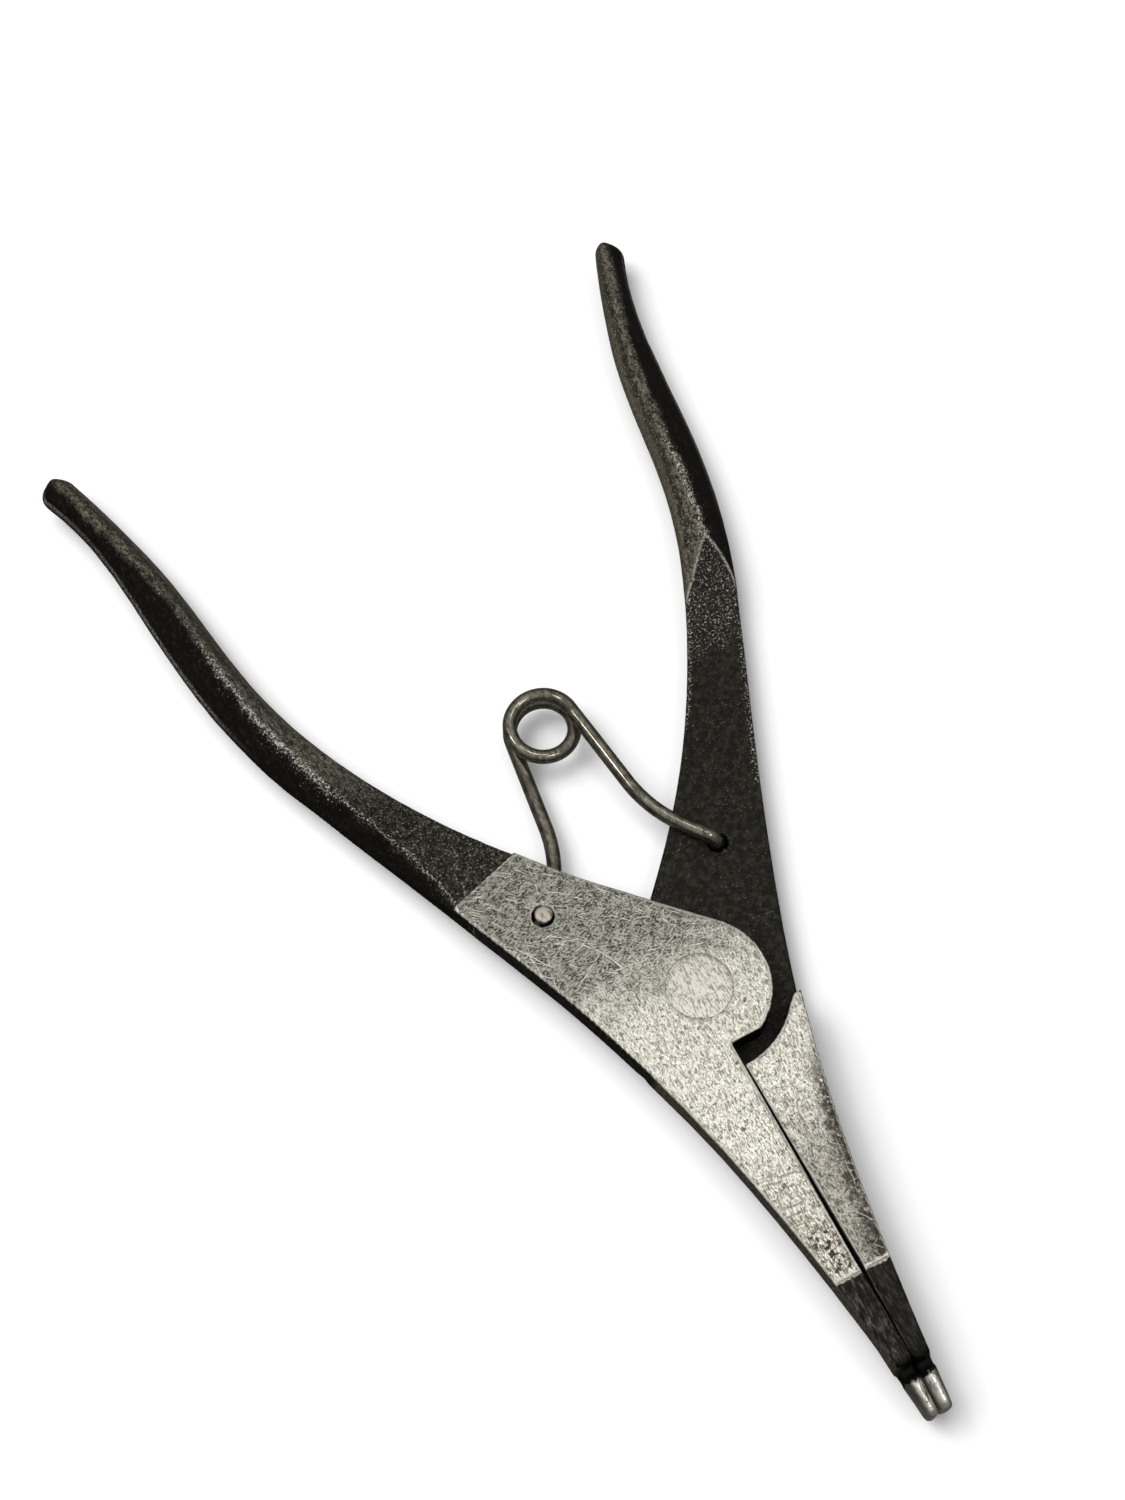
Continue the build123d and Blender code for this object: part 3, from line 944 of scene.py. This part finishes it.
def rivet_piece():
    """Both heads are hammered into their countersinks and ground, and stay a little domed."""
    rim = rivet_head_radius - 0.03
    head = [(0.5 * rim, 0.0), (0.85 * rim, 0.02), (0.97 * rim, 0.04), (0.99 * rim, 0.06), (rim, 0.12)]
    lower = head + [(rivet_radius, rivet_head_depth)]
    upper = [(r, thickness - z) for r, z in reversed(lower)]
    return lathe("rivet", [(0, 0)] + lower + upper + [(0, thickness)])


def spring_path():
    """The wire's centre line, from the middle of the coil to the hook in the back lever."""
    points = []
    turns = 90
    for i in range(turns + 1):
        angle = radians(270) - coil_half_wrap * i / turns
        height = coil_half_rise * i / turns
        points.append((
            coil_centre[0] + coil_radius * cos(angle), coil_centre[1] + coil_radius * sin(angle), height
        ))
    # The leg runs straight to its knee, round it, and straight on to the hook.
    touch = Vector(points[-1][:2])
    knee = Vector(leg_knee)
    hole = Vector(spring_hole)
    before = (touch - knee).normalized()
    after = (hole - knee).normalized()
    half_turn = before.angle(after) / 2
    reach = knee_radius / np.tan(half_turn)
    centre = knee + (before + after).normalized() * knee_radius / sin(half_turn)
    start = knee + before * reach
    end = knee + after * reach
    plan = [touch.lerp(start, i / 12) for i in range(1, 13)]
    for i in range(1, 15):
        spoke = (start - centre).lerp(end - centre, i / 14)
        plan.append(centre + spoke.normalized() * knee_radius)
    bend_start = hole - after * hook_radius
    plan += [end.lerp(bend_start, i / 6) for i in range(1, 7)]
    lengths = np.cumsum([0] + [(b - a).length for a, b in zip([touch] + plan, plan)])
    for point, length in zip(plan, lengths[1:]):
        share = length / lengths[-1]
        height = coil_half_rise + (leg_height - coil_half_rise) * smooth_step(0, 1, share)
        points.append((point.x, point.y, height))
    for i in range(1, 9):
        angle = radians(90) * i / 8
        point = bend_start + after * hook_radius * sin(angle)
        points.append((point.x, point.y, leg_height - hook_radius * (1 - cos(angle))))
    drop = leg_height - hook_radius
    for i in range(1, 13):
        share = i / 12
        aside = smooth_step(0, 1, share)
        x = hole.x + hook_end_shift[0] * aside
        y = hole.y + hook_end_shift[1] * aside
        points.append((x, y, drop - (drop + hook_depth) * share))
    return np.array(points)


def tube(name, path, sizes, around=24):
    """A round wire along a path, with a radius at each point."""
    steps = np.diff(path, axis=0)
    along = np.vstack([steps[:1], steps[:-1] + steps[1:], steps[-1:]])
    along /= np.linalg.norm(along, axis=1)[:, None]
    angles = 2 * pi * np.arange(around) / around
    side = np.array([1.0, 0, 0])
    rings = []
    for point, direction, size in zip(path, along, sizes):
        side = side - direction * side.dot(direction)
        side /= np.linalg.norm(side)
        other = np.cross(direction, side)
        rings.append(point + size * (np.outer(np.cos(angles), side) + np.outer(np.sin(angles), other)))
    faces = []
    for ring in range(len(rings) - 1):
        low = ring * around
        high = low + around
        for k in range(around):
            m = (k + 1) % around
            faces.append((low + k, low + m, high + m, high + k))
    last = (len(rings) - 1) * around
    faces.append(tuple(range(around))[::-1])
    faces.append(tuple(range(last, last + around)))
    return new_piece(name, np.concatenate(rings), faces)


def spring_piece():
    """The whole wire: its front half is its back half turned over."""
    half = spring_path()
    path = np.vstack([half[:0:-1] * (-1, 1, -1), half])
    # Close the mushroomed ends with three short steps.
    end_steps = np.array([(0.0, 0.72), (0.08, 0.9), (0.25, 1.0)])
    from_end = hook_depth - np.abs(path[:, 2])
    sizes = np.where(
        np.hypot(np.abs(path[:, 0]) - spring_hole[0], path[:, 1] - spring_hole[1]) < 1,
        wire_radius + (hook_end_radius - wire_radius) * (1 - smooth_step(0.4, 1.4, from_end)),
        wire_radius,
    )
    head = [path[0] + (0, 0, -depth) for depth, _ in end_steps]
    tail = [path[-1] + (0, 0, depth) for depth, _ in end_steps[::-1]]
    path = np.vstack([head, path[1:-1], tail]) + (0, 0, half_thickness)
    end_sizes = hook_end_radius * end_steps[:, 1]
    sizes = np.concatenate([end_sizes, sizes[1:-1], end_sizes[::-1]])
    return tube("spring_wire", path, sizes)


# ---------------------------------------------------------------- stage

def set_camera():
    """Looks down on the tool from the front left, with the joint near the middle of the view."""
    data = bpy.data.cameras.new("camera")
    data.lens = 55.2
    data.sensor_width = 36
    camera = bpy.data.objects.new("camera", data)
    camera.location = (-0.07601, -0.09689, 0.36604)
    camera.rotation_euler = (radians(24.728), 0, radians(-27.73))
    bpy.context.scene.collection.objects.link(camera)
    bpy.context.scene.camera = camera


def area_light(name, location, aim, size, power, seen_in_metal=True):
    data = bpy.data.lights.new(name, "AREA")
    data.size = size
    data.energy = power
    lamp = bpy.data.objects.new(name, data)
    lamp.location = location
    direction = Vector(aim) - Vector(location)
    lamp.rotation_euler = direction.to_track_quat("-Z", "Y").to_euler()
    lamp.visible_glossy = seen_in_metal
    bpy.context.scene.collection.objects.link(lamp)


def set_room():
    """Dim at the horizon and brighter overhead."""
    world = bpy.data.worlds.new("room")
    world.use_nodes = True
    tree = world.node_tree
    coordinates = tree.nodes.new("ShaderNodeTexCoord")
    parts = tree.nodes.new("ShaderNodeSeparateXYZ")
    tree.links.new(coordinates.outputs["Generated"], parts.inputs[0])
    ramp = tree.nodes.new("ShaderNodeMapRange")
    ramp.interpolation_type = "SMOOTHSTEP"
    ramp.inputs["From Min"].default_value = 0.3
    ramp.inputs["From Max"].default_value = 0.95
    ramp.inputs["To Min"].default_value = 0.12
    ramp.inputs["To Max"].default_value = 0.52
    tree.links.new(parts.outputs[2], ramp.inputs["Value"])
    tree.links.new(ramp.outputs[0], tree.nodes["Background"].inputs["Strength"])
    tree.nodes["Background"].inputs["Color"].default_value = (1, 1, 1, 1)
    bpy.context.scene.world = world


def set_stage():
    bpy.ops.mesh.primitive_plane_add(size=8, location=(0, 0, 0))
    floor = bpy.context.object
    floor.name = "floor"
    floor.data.materials.append(plain("floor", (0.93, 0.93, 0.93), 0.95))
    floor.visible_glossy = False
    set_room()
    # The window lights the floor and casts the shadows, and the lamps shine in the steel: the first
    # in the plate, the far one in the jaws, and the spark in the wire and along the ridges.
    area_light("window", (-0.5, 0.4, 1.2), (0, 0, 0), size=1.1, power=18, seen_in_metal=False)
    area_light("lamp", (0.135, 0.14, 0.8), (0, -0.02, 0), size=0.14, power=0.2)
    area_light("far_lamp", (0.178, -0.25, 0.8), (0, -0.07, 0), size=0.16, power=0.47)
    area_light("spark", (-0.24, 0.2, 0.62), (0, 0.03, 0), size=0.08, power=0.3)
    bpy.context.scene.view_settings.view_transform = "Standard"


set_camera()
set_stage()

for node, turned_over in (("back_lever", False), ("front_lever", True)):
    piece = Lever(turned_over).build(node + "_forging")
    piece.data.materials.append(lever_steel(node + "_steel", turned_over))
    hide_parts(node)
    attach(piece, node)

rivet = rivet_piece()
rivet.data.materials.append(rivet_steel())
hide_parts("pivot_rivet")
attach(rivet, "front_lever")

spring = spring_piece()
spring.data.materials.append(spring_steel())
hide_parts("spring_front_half", "spring_back_half")
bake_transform(spring)
